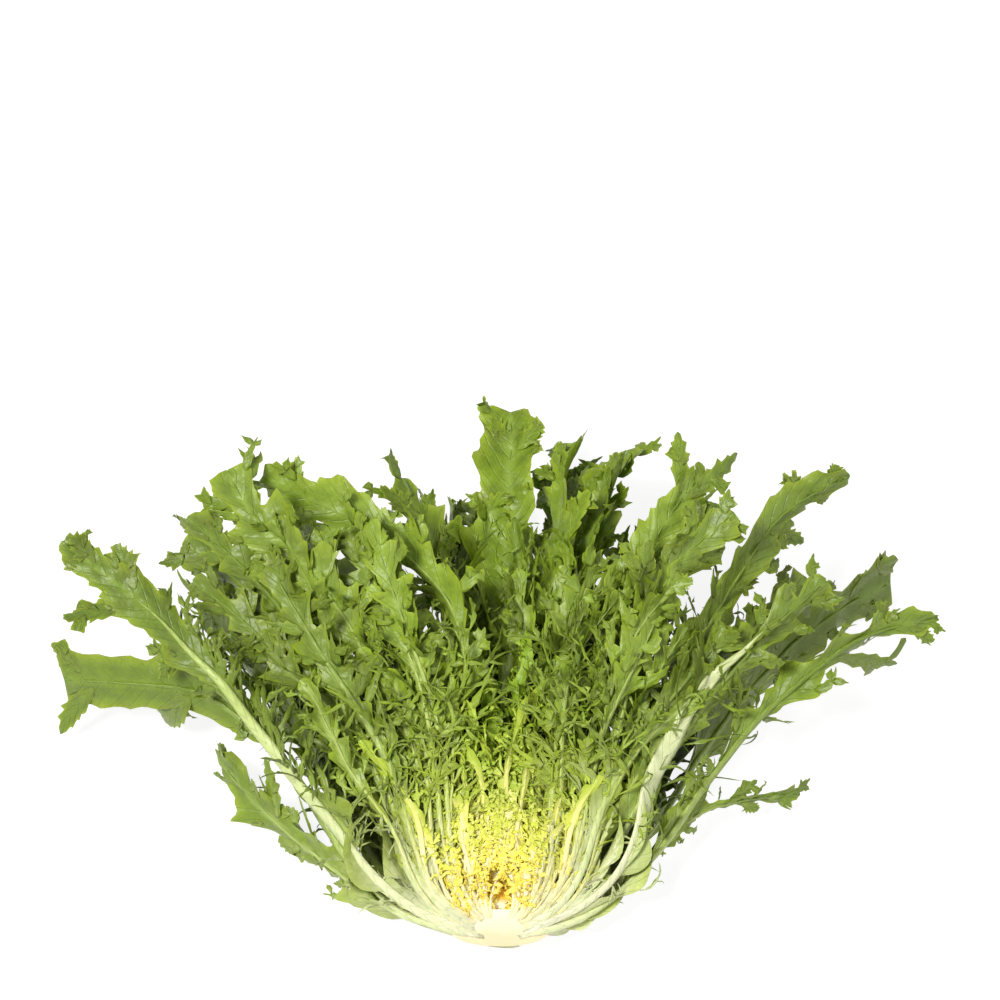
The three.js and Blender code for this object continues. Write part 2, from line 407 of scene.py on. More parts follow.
def swingFoot(path):
    # near the crown the outer midribs lie lower, and curve up from its sides
    h = headShape
    angle = np.degrees(np.arctan2(path[:, 0], path[:, 1]))
    reached = np.hypot(path[:, 0], path[:, 1])
    turn = h["footSwing"] * np.sign(angle) * smooth(np.abs(angle), *h["swingAngle"])
    return turned(path, np.radians(turn * (1 - smooth(reached, *h["swingReach"]))))


fanBend = {
    "grownBy": 0.75,  # share of the leaf by which its turn and stretch are complete
    "evenOver": 5,  # rows on either side that a course is evened out over
    "heldTo": 6,  # distance from the crown up to which the foot keeps one turn
}


def fanPath(lean, layer, angle, walk, fan, span, course):
    # a ring path, turned and stretched in the plane of the cut so that it ends at an angle and a
    # distance, or runs through the angles that its course gives at distances from the crown
    path = ringPath(lean, layer, angle, np.maximum(walk, 0))
    path = path + np.minimum(walk, 0)[:, None] * unit(path[np.argmax(walk > 2)] - path[0])
    path = swingFoot(path)
    if fan is None and not course:
        return path
    if course:
        fan, span = course[-1][1], course[-1][0]
    endsAt = math.degrees(math.atan2(path[-1, 0], path[-1, 1]))
    stretch = span / math.hypot(path[-1, 0], path[-1, 1])
    grow = smooth(walk / walk[-1], 0, fanBend["grownBy"])
    turn = np.radians((fan - endsAt) * grow)
    longer = 1 + (stretch - 1) * grow
    if course:
        reached = np.hypot(path[:, 0], path[:, 1]) * longer
        distances, angles = np.array(course, float).T
        wanted = np.interp(reached, distances, angles)
        rows = fanBend["evenOver"]
        wanted = np.pad(wanted, rows, mode="reflect", reflect_type="odd")
        wanted = np.convolve(wanted, np.ones(2 * rows + 1) / (2 * rows + 1), mode="valid")
        turn = np.radians(wanted) - np.arctan2(path[:, 0], path[:, 1])
        held = smooth(walk, -4, fanBend["heldTo"])
        turn = turn * held + turn[np.argmax(walk > fanBend["heldTo"])] * (1 - held)
    return turned(path, turn, longer)


leafBuild = {
    "claspLength": 26,  # distance from the crown over which a midrib's foot narrows
    "ribSunk": 0.32,  # how deep a midrib sits in its blade, to its thickness
    "ribThinnest": 0.5,
    "ribColumns": 7,
    "endRound": 2.2,  # how blunt a blade ends
    "sideUneven": (0.82, 1.18),  # how much wider or narrower one side of a blade is
    "lobePeak": 0.68,  # how far forward a lobe's point lies, and a tooth's
    "toothPeak": 0.62,
    "toothSharp": 1.6,
    "toothUneven": 0.6,
    "sheathFrom": (-8, 3),  # where the thin sides of the foot widen
    "sheathEnd": 14,
    "cupFrom": (20, 80),
    "paleSide": (0.3, 1.5, 0.4),  # where the blade beside a midrib turns green
}


def leafCourse(rng, form, lean, layer, around, reach):
    # a leaf's middle line, a ring path that wanders, bows and hooks; and how the leaf faces along it
    share = np.linspace(0, 1, form["rows"])
    walk = form["inside"] * (share - 1) + share * reach
    angle = around + form["wander"] * waves(rng, share, 2, 0.3, 1.1) * share
    path = fanPath(lean, layer, angle, walk, form["fan"], form["span"], form["course"])
    right, left = (ringPath(lean, layer, angle + aside, np.maximum(walk, 0)) for aside in (1.5, -1.5))
    ahead = unit(np.gradient(path, axis=0))
    side = across(right - left, ahead)
    face = np.cross(ahead, side)
    bowl = -form["bowl"] * np.sin(2 * np.pi * share**0.75)
    path = path + face * (bowl + form["nod"] * waves(rng, share, 2, 0.5, 1.6) * share)[:, None]
    path = path + side * (form["drift"] * waves(rng, share, 2, 0.5, 1.5) * share)[:, None]
    wiggle = form["wiggle"] * smooth(walk, 4, 20)
    wiggle = wiggle * waves(rng, share, 2, 0.7 * form["wiggles"], 1.2 * form["wiggles"])
    path = path + side * wiggle[:, None]
    bow = form["tipBow"] * smooth(share, 0.6, 1.0) * (share - 0.6)
    path = path + face * (bow * reach * 0.5)[:, None]
    hooked = form["tipHook"] * smooth(share, 0.45, 1.0) * (share - 0.45)
    path = path + side * (hooked * reach)[:, None]
    ahead = unit(np.gradient(path, axis=0))
    side = across(side, ahead)
    face = np.cross(ahead, side)
    facing = (90 - around) * form["roll"] * smooth(share, 0.05, 0.6)
    roll = np.radians(facing + form["turn"] * waves(rng, share, 2, 0.3, 1.2) * share)
    side = rotate(side, ahead, -roll)
    face = rotate(face, ahead, -roll)
    return share, walk, path, ahead, side, face


def growMidrib(piece, rng, form, share, walk, path, side, face):
    b = leafBuild
    clasp = 1 + form["clasp"] * (1 - smooth(walk, 0, b["claspLength"]))
    taper = (1 - 0.94 * share ** form["ribTaper"]) * clasp
    if form["ribReach"] < 1:
        ribShare = np.minimum(share / form["ribReach"], 1)
        taper = taper * np.sqrt(np.clip((1 - ribShare) / 0.25, 0.02, 1))
    half = form["foot"] / 2 * taper
    thick = np.maximum(form["foot"] / form["ribFlat"] * (1 - 0.85 * share**0.9), b["ribThinnest"])
    thick = np.minimum(thick, 2 * half + 0.1)
    sunk = path - face * (thick * b["ribSunk"])[:, None]
    kept = np.arange(0, int(len(share) * form["ribReach"]), form["ribStep"])
    parts = [part[None, kept] for part in (sunk, side, face, half, half, thick)]
    piece.addRibbons(
        *parts, columns=b["ribColumns"], rib=1.0, tone=rng.random(), nearer=form["paleReach"])
    return half


def growBlade(piece, rng, form, share, walk, path, side, face, ribHalf):
    # the leaf's thin sheet: lobed and toothed, ruffled and cupped, and sheathing at its foot
    b = leafBuild
    grown = smooth(share, form["bladeStart"], form["widest"])
    closed = np.clip((share - form["tipStart"]) / (1 - form["tipStart"]), 0, 1) ** b["endRound"]
    closing = np.sqrt(np.clip(1 - closed, 0, 1))
    blade = form["blade"] * grown * (0.04 + 0.96 * closing) * (1 + form["flare"] * smooth(share, 0.8, 1))
    columns = form["columns"]
    u = np.linspace(-1, 1, columns)
    size = np.abs(u)[None]
    lift = np.zeros((len(share), columns))
    halves = []
    ends = (form["bladeStart"], 1.0)
    depth = form["lobeDepth"]
    for handed in (-1, 1):
        lobes, lobeHeights = sawEdge(rng, share, *ends, form["lobes"], form["lobeSharp"], b["lobePeak"])
        saw = [form["teeth"], b["toothSharp"], b["toothPeak"], b["toothUneven"]]
        teeth = sawEdge(rng, share, *ends, *saw)[0]
        fuller = rng.uniform(*b["sideUneven"])
        half = blade * fuller * (1 - depth + depth * 1.3 * lobes)
        half = half + form["toothHeight"] * teeth * smooth(blade, 0.5, 4)
        sheath = form["sheath"] * smooth(walk, *b["sheathFrom"])
        sheath = sheath * (1 - smooth(walk, b["sheathEnd"], form["sheathLength"]))
        wing = form["foot"] * (form["wing"] * (0.5 + 0.5 * teeth) + sheath)
        half = np.maximum(half, np.maximum(wing, 0.3))
        halves.append(half)
        onSide = (u * handed > 0)[None]
        wave = waves(rng, share, 3, form["ruffles"] * 0.7, form["ruffles"] * 1.6)
        big = form["ruffle"] * (half / max(form["blade"], 1))[:, None] * size**1.6 * wave[:, None]
        flap = form["lobeLift"] * rng.choice([-1, 1]) * lobes[:, None]
        flap = flap * (lobeHeights - 0.7)[:, None] * 3 * size**2.4
        cupAngle = np.radians(form["cup"] + form["cupSpread"] * waves(rng, share, 2, 0.4, 1.6))
        cupAngle = cupAngle * smooth(walk, *b["cupFrom"])
        cup = np.tan(cupAngle)[:, None] * half[:, None] * size**1.2 * 0.8
        lift += onSide * (big + cup + flap)
    crinkle = form["crinkle"] * waves(rng, share, 3, 8, 20)[:, None]
    lift += crinkle * np.sin(2.2 * u[None] * 2 + 6 * share[:, None] * 3) * smooth(blade, 1, 6)[:, None]
    halfHere = np.where(u[None] < 0, halves[0][:, None], halves[1][:, None])
    push = halfHere * size**1.3 * form["bladeSweep"]
    thick = np.full(len(share), form["thin"]) * (1 - 0.4 * share)
    thick = np.minimum(thick, np.maximum(*halves) * 0.8)
    near, far, more = b["paleSide"]
    pale = 1 - smooth(halfHere * size, near * ribHalf[:, None], far * ribHalf[:, None] + more)
    leafTone = rng.random()
    parts = [part[None] for part in (path, side, face, *halves, thick, lift, push)]
    surface, normal = piece.addRibbons(*parts, columns, pale[None], leafTone)
    return surface[0], normal[0], leafTone


def growArms(piece, rng, form, surface, normal, ahead, leafTone):
    # the big arms of a forked leaf: share, side, length, half width, degrees from the midrib, hook
    rows, columns = surface.shape[:2]
    arms = list(form["limbs"])
    if form["tipLobe"]:
        arms.append((0.94, rng.choice([-1, 1]), *form["tipLobe"], rng.uniform(0, 18), rng.normal(0, 30)))
    for place, handed, length, wide, out, hook in arms:
        style = {**baseLobes, **limbs, **form["limbLooks"], "hook": hook}
        row = np.array([int(place * (rows - 1))])
        column = np.array([(columns - 1) // 2 + (handed if form["rootOut"] else 0)])
        handed = np.array([handed])
        root = rootAt(surface, normal, ahead, row, column, handed[:, None], math.radians(out), 0)
        addLobes(piece, rng, *root, np.array([length]), np.array([wide]), style, handed, leafTone)


def growSideLobes(piece, rng, style, surface, normal, ahead, leafTone):
    # one set of lobes along both sides of a leaf, longest in its middle
    rows, columns = surface.shape[:2]
    count = style["count"]
    first, last = style["first"], style["last"]
    place = np.linspace(first, last, count) + rng.uniform(-0.4, 0.4, count) * (last - first) / count
    row = np.clip((place * (rows - 1)).astype(int), 1, rows - 2)
    handed = np.where(np.arange(count) % 2, 1, -1) * np.where(rng.random(count) < 0.15, -1, 1)
    handed = handed if style["onSide"] == 0 else np.full(count, style["onSide"])
    outShare = rng.uniform(*style["rooted"], count)
    column = np.round((handed * outShare + 1) / 2 * (columns - 1)).astype(int)
    column = np.clip(column, 0, columns - 1)
    angleOut = np.radians(rng.normal(style["angle"], style["angleSpread"], count))[:, None]
    rise = np.radians(rng.normal(style["rise"], style["riseSpread"], count))[:, None]
    root = rootAt(surface, normal, ahead, row, column, handed[:, None], angleOut, rise)
    middle = np.clip((place - first) / (last - first), 0.15, 0.88)
    fuller = np.sin(np.pi * middle) ** style["even"]
    length = style["length"] * fuller * rng.uniform(0.6, 1.35, count)
    wide = style["wide"] * fuller**0.5 * rng.uniform(0.7, 1.35, count)
    addLobes(piece, rng, *root, length, wide, style, handed, leafTone)


def growLeaf(piece, rng, form, lean, layer, around, reach):
    share, walk, path, ahead, side, face = leafCourse(rng, form, lean, layer, around, reach)
    ribHalf = growMidrib(piece, rng, form, share, walk, path, side, face)
    surface, normal, leafTone = growBlade(piece, rng, form, share, walk, path, side, face, ribHalf)
    growArms(piece, rng, form, surface, normal, ahead, leafTone)
    for style in form["lobeSets"]:
        growSideLobes(piece, rng, {**baseLobes, **style}, surface, normal, ahead, leafTone)


baseLobes = {
    "count": 16,
    "first": 0.2,  # shares of the leaf's length that they stand along
    "last": 0.8,
    "onSide": 0,  # -1: only on the left, 1: only on the right
    "rooted": (0.2, 0.6),  # how far out from the midrib they start, as a share of the blade
    "angle": 46,  # degrees from the midrib
    "angleSpread": 11,
    "rise": 12,
    "riseSpread": 24,
    "even": 0.6,
    "length": 22,
    "wide": 2.6,  # half width
    "rows": 14,
    "columns": 5,
    "swell": 0.5,
    "neck": 0.55,
    "pointed": 1.6,
    "taper": 0.7,
    "teeth": 4,
    "toothDepth": 0.9,
    "hook": 25,
    "hookSpread": 45,
    "curl": 35,
    "curlSpread": 70,
    "twist": 0,
    "twistSpread": 70,
    "channel": 0.35,
    "sweep": 0.5,
    "thin": 0.5,
    "paleRib": 0.6,
    "toneSpread": 0.8,
    "forks": 1,
    "forkShare": 0.6,
    "forkLength": (0.3, 0.6),
}
# pointed hooked lobes along the margin of a broad blade, in its plane
hooks = dict(
    count=15, first=0.42, last=0.98, rooted=(0.5, 0.8), angle=48, rise=0, riseSpread=5, even=0.15,
    length=15, wide=3.2, rows=8, swell=0.1, neck=1.0, pointed=1.0, taper=1.1, teeth=3, toothDepth=0.6,
    hook=30, hookSpread=35, curl=8, curlSpread=45, twistSpread=25, forkShare=0.7, forkLength=(0.3, 0.55),
    sweep=0.6, channel=0.15, thin=0.3, toneSpread=0.12)
# long narrow curly lobes below the blade
frizz = dict(
    count=22, first=0.12, last=0.72, rooted=(0.6, 1.0), length=27, wide=1.1, rows=9, columns=3, angle=38,
    hook=20, hookSpread=55, curl=30, curlSpread=70, twistSpread=70, teeth=4, toothDepth=1.5, neck=0.9,
    swell=0.3, pointed=1.3, forks=1, forkShare=0.75, forkLength=(0.25, 0.5), thin=0.6)
# the big arms of a leaf that forks
limbs = dict(
    rows=15, columns=5, swell=0.3, neck=0.75, pointed=1.8, taper=0.9, teeth=4, toothDepth=0.75,
    hookSpread=6, curl=10, curlSpread=20, twistSpread=15, forkShare=1.0, forkLength=(0.22, 0.4), forks=1,
    sweep=0.6, channel=0.15, thin=0.3, toneSpread=0.05)

baseForm = {
    "rows": 104,
    "columns": 9,
    "fan": None,  # angle of the tip from the head's axis, to the right, where it matters
    "span": 190,  # and its distance from the crown's centre
    "course": [],  # or its whole course: distances from the crown's centre and angles
    "inside": 14,  # length that starts inside the crown
    "foot": 8,  # width of the midrib at the crown
    "clasp": 1.1,  # how much wider the foot is where it clasps the crown
    "ribFlat": 2.6,
    "ribTaper": 0.62,
    "ribReach": 1.0,  # share of the leaf that the midrib stands out along
    "ribStep": 3,
    "wiggle": 0.6,  # how much the midrib wavers
    "wiggles": 7,
    "wander": 3.5,
    "bowl": 5,  # how far it bows out of the straight near the crown
    "nod": 6,
    "drift": 5,
    "tipBow": 0.0,
    "tipHook": 0.0,
    "roll": 0.7,  # share of the turn that would face a side leaf out of the cut
    "turn": 34,
    "bladeStart": 0.34,
    "widest": 0.72,
    "tipStart": 0.8,
    "flare": 0.0,  # how much a blade widens again at its end
    "blade": 11,  # half width
    "lobes": 6,
    "lobeSharp": 1.5,
    "lobeDepth": 0.6,
    "lobeLift": 3,
    "teeth": 17,
    "toothHeight": 2.6,
    "wing": 0.2,
    "sheath": 0.7,  # half width of the foot's thin sides, to the midrib's width
    "sheathLength": 62,
    "paleReach": 1.0,  # how much sooner the midrib turns green
    "ruffle": 7,
    "ruffles": 3,
    "cup": 9,
    "cupSpread": 15,
    "crinkle": 1.2,
    "bladeSweep": 0.8,
    "thin": 0.5,
    "lobeSets": [hooks, frizz],
    "limbs": [],
    "limbLooks": {},
    "tipLobe": (13, 3.6),  # length and half width of a lobe that ends the leaf
    "rootOut": True,
    "sisters": 0,  # more leaves of the same kind round this one
    "sistersAtCut": 0.0,  # share of them that stand in the cut
    "sisterLean": None,
}

# small blanched leaves, and the tight curls that cover them
heartForm = dict(
    columns=3, lobes=4, lobeDepth=0.7, teeth=8, toothHeight=0.8, ruffle=1.5, bladeStart=0.02, widest=0.3,
    nod=4, drift=5, clasp=0.1, bowl=3, tipLobe=None, lobeLift=0.5, roll=0.5, sheath=0.0, ribTaper=1.5,
    ribStep=2, sistersAtCut=0.6)
heartCurls = dict(
    frizz, last=0.98, rows=8, teeth=3, curlSpread=160, hookSpread=130, twistSpread=180, thin=0.8,
    forkShare=0.4, toothDepth=1.2)

# what the leaves of each ring look like, from the outside in
leafRings = {
    "table_leaf": dict(
        lean=1.15, around=[14, 50, 90, 130, 166], reach=[114, 150, 136, 148, 110],
        form=dict(
            foot=8, blade=11, bladeStart=0.3, lobes=5, ruffle=7,
            lobeSets=[dict(hooks, count=12, first=0.4), dict(frizz, count=10, first=0.35)])),
    "outer_leaf": dict(
        lean=1.01, around=[9, 40, 71, 109, 140, 171], reach=[184, 180, 164, 160, 172, 186],
        form=dict(
            foot=9, blade=15, bladeStart=0.18, sheath=1.3, sheathLength=90,
            lobeSets=[hooks, dict(frizz, count=16)])),
    "rib_leaf": dict(
        lean=0.84, around=[1, 28, 58, 90, 122, 152, 179], reach=[186, 190, 180, 172, 180, 182, 210],
        sisterForm=dict(blade=9, bladeStart=0.3, widest=0.75, lobes=7, lobeDepth=0.7, sheath=1.2),
        form=dict(
            foot=8.5, blade=14, bladeStart=0.16, sheath=1.5, sheathLength=90,
            lobeSets=[hooks, dict(frizz, count=20)])),
    "broad_leaf": dict(
        lean=0.71, sisterReach=(0.6, 0.76), around=[11, 42, 74, 106, 138, 169],
        reach=[206, 172, 176, 154, 182, 188],
        sisterForm=dict(blade=9, bladeStart=0.35, widest=0.75, lobes=7, lobeDepth=0.7, sheath=1.0),
        form=dict(
            foot=7, blade=13, bladeStart=0.2, sheath=1.4, sheathLength=90, sisters=1,
            lobeSets=[hooks, dict(frizz, count=22)])),
    "tall_leaf": dict(
        lean=0.58, around=[4, 34, 62, 96, 134, 177], reach=[190, 190, 172, 158, 188, 206],
        sisterForm=dict(blade=9, bladeStart=0.5, widest=0.8, lobeDepth=0.75, ribTaper=0.8),
        form=dict(
            foot=5.5, blade=11, bladeStart=0.34, sisters=1, sistersAtCut=0.5,
            lobeSets=[hooks, dict(frizz, count=28)])),
    "middle_leaf": dict(
        lean=0.46, around=[8, 52, 90, 128, 172], reach=[206, 188, 202, 186, 200], sisterReach=(0.6, 0.8),
        sisterForm=dict(foot=5, blade=7.5, bladeStart=0.5, widest=0.8, lobeDepth=0.75, ribTaper=0.8),
        form=dict(
            foot=4.5, blade=9.5, bladeStart=0.36, sisters=2, sistersAtCut=0.5, sisterLean=(0.2, 0.6),
            lobeSets=[dict(hooks, length=13), dict(frizz, count=30)])),
    "young_leaf": dict(
        lean=0.35, around=[10, 50, 90, 130, 170], reach=[132, 142, 146, 140, 134],
        form=dict(
            rows=56, columns=5, foot=3.6, blade=4.5, lobes=6, lobeDepth=0.7, teeth=12, toothHeight=2,
            ruffle=3, bladeStart=0.3, lobeLift=1.5, sheath=0.1, ribTaper=0.9, ribStep=2, tipLobe=None,
            rootOut=False, wiggle=1.2, sisters=4, sistersAtCut=0.5, sisterLean=(0.25, 0.8),
            lobeSets=[dict(frizz, count=30, first=0.22, last=0.98, length=22, wide=1.25, curlSpread=80)])),
    "inner_leaf": dict(
        lean=0.25, curlProud=1.4, around=[14, 62, 118, 166], reach=[92, 100, 98, 90],
        form=dict(
            rows=48, columns=5, foot=4.0, blade=3, lobes=5, lobeDepth=0.7, teeth=12, toothHeight=1.2,
            ruffle=3, bladeStart=0.1, widest=0.5, nod=3, drift=4, clasp=0.2, lobeLift=1, sheath=0.1,
            ribTaper=1.3, ribStep=2, tipLobe=None, rootOut=False, wiggle=1.5, wiggles=4, sisters=4,
            sistersAtCut=0.6, sisterLean=(0.06, 0.7),
            lobeSets=[dict(
                frizz, count=31, first=0.3, last=0.98, length=10.5, wide=0.95, rows=8, curl=90,
                curlSpread=130, hookSpread=80, forkShare=0.6)])),
    "heart_leaf": dict(
        lean=0.17, curlProud=1.4, around=[20, 90, 160], reach=[66, 58, 66],
        form=dict(
            heartForm, rows=36, foot=4.4, blade=3.6, wiggle=1.8, wiggles=3, sisters=7,
            sisterLean=(0.03, 0.75),
            lobeSets=[dict(heartCurls, count=39, first=0.08, length=6.5, wide=1.25, curl=190)])),
    "heart_tuft": dict(
        lean=0.06, curlProud=1.4, around=[90], reach=[45],
        form=dict(
            heartForm, rows=30, foot=3.8, blade=5.0, wiggle=1.6, wiggles=2.5, sisters=11,
            sisterLean=(0.02, 0.6),
            lobeSets=[dict(heartCurls, count=40, first=0.04, length=7, wide=1.5, curl=200)])),
}

# leaves that stand out, and differ from their ring
ownForms = {
    "table_leaf_1": dict(
        course=[(22, 80), (62, 67), (92, 65), (112, 66.5), (127, 67.5)], blade=5, turn=8, nod=2, drift=1,
        foot=6, tipLobe=None,
        limbs=[
            (0.82, 1, 9, 3, 30, 0), (0.78, -1, 14, 2.5, 30, 0), (0.64, -1, 22, 4, 42, 0),
            (0.5, -1, 20, 4, 50, 10)],
        lobeSets=[dict(hooks, count=9, length=8, wide=2), dict(frizz, count=4, first=0.5, length=9)]),
    "table_leaf_5": dict(
        course=[(22, -80), (50, -78), (85, -72), (112, -64.7), (127, -60)], blade=11, bladeStart=0.1,
        widest=0.4, lobeDepth=0.5, turn=8, nod=2, drift=1, foot=6, cup=3, cupSpread=8,
        limbs=[
            (0.42, 1, 26, 4, 50, 0), (0.58, 1, 26, 3.6, 55, 10), (0.76, 1, 26, 3.6, 60, 20),
            (0.3, -1, 16, 5, 45, 20), (0.5, -1, 13, 5, 45, 20), (0.66, -1, 13, 4.5, 45, 20)],
        lobeSets=[dict(hooks, count=10, first=0.3, length=8, wide=3), dict(frizz, count=4, first=0.4)]),
    "outer_leaf_1": dict(
        sheath=0.8, course=[(19, 80), (50, 67), (90, 57), (126, 53), (175, 52.4), (206, 55.6)], blade=6,
        turn=8, widest=0.8, nod=3, drift=1, tipLobe=None,
        limbs=[(0.8, 1, 37, 4.2, 60, 0), (0.88, -1, 14, 3, 40, 0), (0.95, 1, 12, 3, 40, 10)],
        lobeSets=[dict(hooks, count=10, length=11, wide=2.2), dict(frizz, count=12, onSide=-1)]),
    "outer_leaf_2": dict(
        course=[(20, 66), (60, 55), (100, 47), (140, 43), (180, 41)], blade=17, bladeStart=0.12, widest=0.5,
        turn=8),
    "outer_leaf_5": dict(
        course=[(20, -66), (60, -56), (100, -48), (140, -43), (172, -41)], blade=17, bladeStart=0.12,
        widest=0.5, turn=8),
    "outer_leaf_6": dict(
        sheath=0.8, course=[(19, -80), (60, -64), (100, -55.2), (145, -53.4), (165, -56.8), (194, -61)],
        blade=11, flare=0.15, lobeDepth=0.1, ruffle=3, turn=5, nod=3, drift=1, toothHeight=1.5, teeth=9,
        bladeStart=0.5, widest=0.75, tipStart=0.985, bladeSweep=0.25, tipLobe=None, cup=2, cupSpread=5,
        limbs=[(0.97, 1, 17, 3.5, 62, 20), (0.95, -1, 28, 4.4, 44, -24), (0.76, -1, 28, 6.5, 60, -10)],
        limbLooks=dict(forkShare=0.4, toothDepth=0.45),
        lobeSets=[dict(hooks, count=4, first=0.5, last=0.7, length=10), dict(frizz, count=14, onSide=1)]),
    "rib_leaf_1": dict(
        course=[(17, 77), (42, 66), (77, 46), (113, 42.3), (158, 43)], foot=8, bladeStart=0.5,
        paleReach=0.3, blade=2, turn=6, nod=2, drift=0.5, wander=0.5, bowl=3, ribReach=0.97, ribTaper=4,
        ribStep=2, wiggle=1.2, sheath=0.3, tipLobe=None,
        limbs=[(0.55, -1, 30, 2.5, 25, -20), (0.7, -1, 34, 3, 25, -10), (0.42, -1, 26, 2.2, 30, -10)],
        sisters=2, sistersAtCut=1.0, sisterLean=(0.6, 0.86),
        lobeSets=[dict(frizz, count=22, first=0.25, last=0.95)]),
    "rib_leaf_2": dict(
        course=[(20, 74), (60, 58), (100, 51), (125, 49), (160, 48.5), (204, 50.3)], blade=18,
        lobeSets=[dict(hooks, count=10, last=0.93, length=8, wide=4), dict(frizz, count=14, first=0.35)],
        bladeStart=0.2, widest=0.7, tipStart=0.95, lobeDepth=0.45, toothHeight=3.6, turn=4, nod=3, drift=1,
        roll=1.25, cup=4, cupSpread=8, lobes=4, bladeSweep=0.4, tipLobe=None,
        limbs=[(0.72, -1, 22, 5, 40, 30), (0.9, -1, 25, 7.5, 42, 15), (0.93, 1, 12, 5, 50, 10)]),
    "rib_leaf_6": dict(
        course=[(20, -72), (50, -60), (90, -51), (125, -47), (170, -45)], sheath=1.2, blade=16,
        bladeStart=0.18, widest=0.5, roll=1.1, turn=8, drift=1,
        lobeSets=[hooks, dict(frizz, count=40, wide=1.6)]),
    "rib_leaf_7": dict(
        course=[(17, -80), (42, -67), (70, -57), (121, -52.3), (165, -49.8), (222, -48.4)], foot=10.5,
        paleReach=0.52, blade=9, lobes=4, lobeDepth=0.4, bladeStart=0.5, widest=0.72, turn=6, nod=3,
        drift=0.5, wander=0.5, bowl=3, ribReach=0.85, ribTaper=0.8, ribStep=2, wiggle=1.6, cup=3,
        cupSpread=8, tipLobe=(14, 4.5),
        limbs=[(0.85, 1, 19, 5, 26, 0), (0.84, -1, 29, 4.5, 50, -10), (0.7, -1, 12, 4, 60, 0)], sisters=3,
        sistersAtCut=1.0, sisterLean=(0.58, 0.86),
        lobeSets=[
            dict(hooks, count=8, first=0.62, length=11),
            dict(frizz, count=60, first=0.2, last=0.75, onSide=1, length=26, wide=1.5)]),
    "broad_leaf_1": dict(
        course=[(20, 62), (80, 40), (154, 35.8), (190, 35), (219, 38.6)], blade=8.6, lobes=5, lobeDepth=0.4,
        turn=8, ruffle=3, drift=1, nod=3, tipLobe=None,
        limbs=[
            (0.97, -1, 8, 3.2, 30, -20), (0.9, -1, 10, 4.5, 40, -20), (0.84, 1, 20, 4, 62, -20),
            (0.72, 1, 12, 4, 40, 30)],
        lobeSets=[dict(hooks, count=7, last=0.9, length=11), dict(frizz, count=22)]),
    "broad_leaf_6": dict(fan=-41, span=190, blade=13, limbs=[(0.75, -1, 28, 6, 30, 20)]),
    "tall_leaf_1": dict(
        fan=30.5, span=180, blade=10, limbs=[(0.75, -1, 24, 5, 40, 40), (0.85, 1, 24, 5, 45, 20)]),
    "tall_leaf_2": dict(
        fan=15.3, span=192, blade=16,
        limbs=[(0.85, 1, 24, 6, 45, 10), (0.85, -1, 16, 4.5, 30, 0), (0.7, 1, 24, 6, 40, 20)]),
    "tall_leaf_5": dict(fan=-8, span=164, blade=9, limbs=[(0.8, -1, 20, 5, 40, 20)]),
    "tall_leaf_6": dict(
        course=[(18, -58), (60, -36), (110, -29), (158, -30.5), (192, -31.5), (202, -30.5)], blade=13,
        turn=10, drift=2, tipLobe=None,
        limbs=[(0.8, -1, 20, 5, 40, 0), (0.72, 1, 20, 5, 40, 20), (0.93, -1, 17, 5, 40, -10)]),
    "middle_leaf_1": dict(
        course=[(16, 36), (80, 25), (150, 23.2), (187, 24.8)], blade=6, bladeStart=0.5, widest=0.8, turn=4,
        drift=1, nod=3, tipStart=0.97, lobeDepth=0.3, tipLobe=None, cupSpread=6,
        limbs=[(0.96, -1, 25, 4.2, 46, 10), (0.96, 1, 31, 4.6, 12, -10), (0.84, 1, 20, 4.5, 42, 10)],
        lobeSets=[dict(hooks, count=9, last=0.8), frizz]),
    "middle_leaf_2": dict(
        fan=9.8, span=190, blade=12, limbs=[(0.76, -1, 26, 6, 35, -10), (0.9, 1, 18, 4, 30, 20)]),
    "middle_leaf_3": dict(
        fan=1.2, span=200, blade=11.5, lobeDepth=0.15, teeth=13, toothHeight=2.2, ruffle=2.5,
        bladeStart=0.42, widest=0.66, tipStart=0.92, turn=5, wander=0.5, cup=4, cupSpread=6, drift=1, nod=3,
        tipLobe=None, limbs=[(0.92, -1, 15, 4.5, 38, -30), (0.92, 1, 14, 4, 22, 0)],
        lobeSets=[dict(hooks, count=8, first=0.6, length=8), frizz]),
    "middle_leaf_4": dict(
        fan=-11.5, span=178, blade=8, tipLobe=None,
        limbs=[(0.9, -1, 18, 4, 40, -10), (0.9, 1, 20, 4, 30, 0), (0.8, -1, 20, 4, 50, 30)]),
    "middle_leaf_5": dict(
        course=[(16, -20), (60, -11), (118, -11), (160, -18.5), (184, -24.5), (197, -27)], blade=11,
        lobeDepth=0.45, bladeStart=0.42, turn=8, lobes=5, drift=1, tipStart=0.86, toothHeight=3.6,
        tipLobe=None, limbs=[(0.8, -1, 20, 5, 45, 20), (0.93, 1, 13, 4, 30, -10)]),
}


def linear(*colour):
    # a colour written as 0 to 255, as the render shows it
    return tuple(((c / 255 + 0.055) / 1.055) ** 2.4 if c > 10 else c / 255 / 12.92 for c in colour) + (1,)


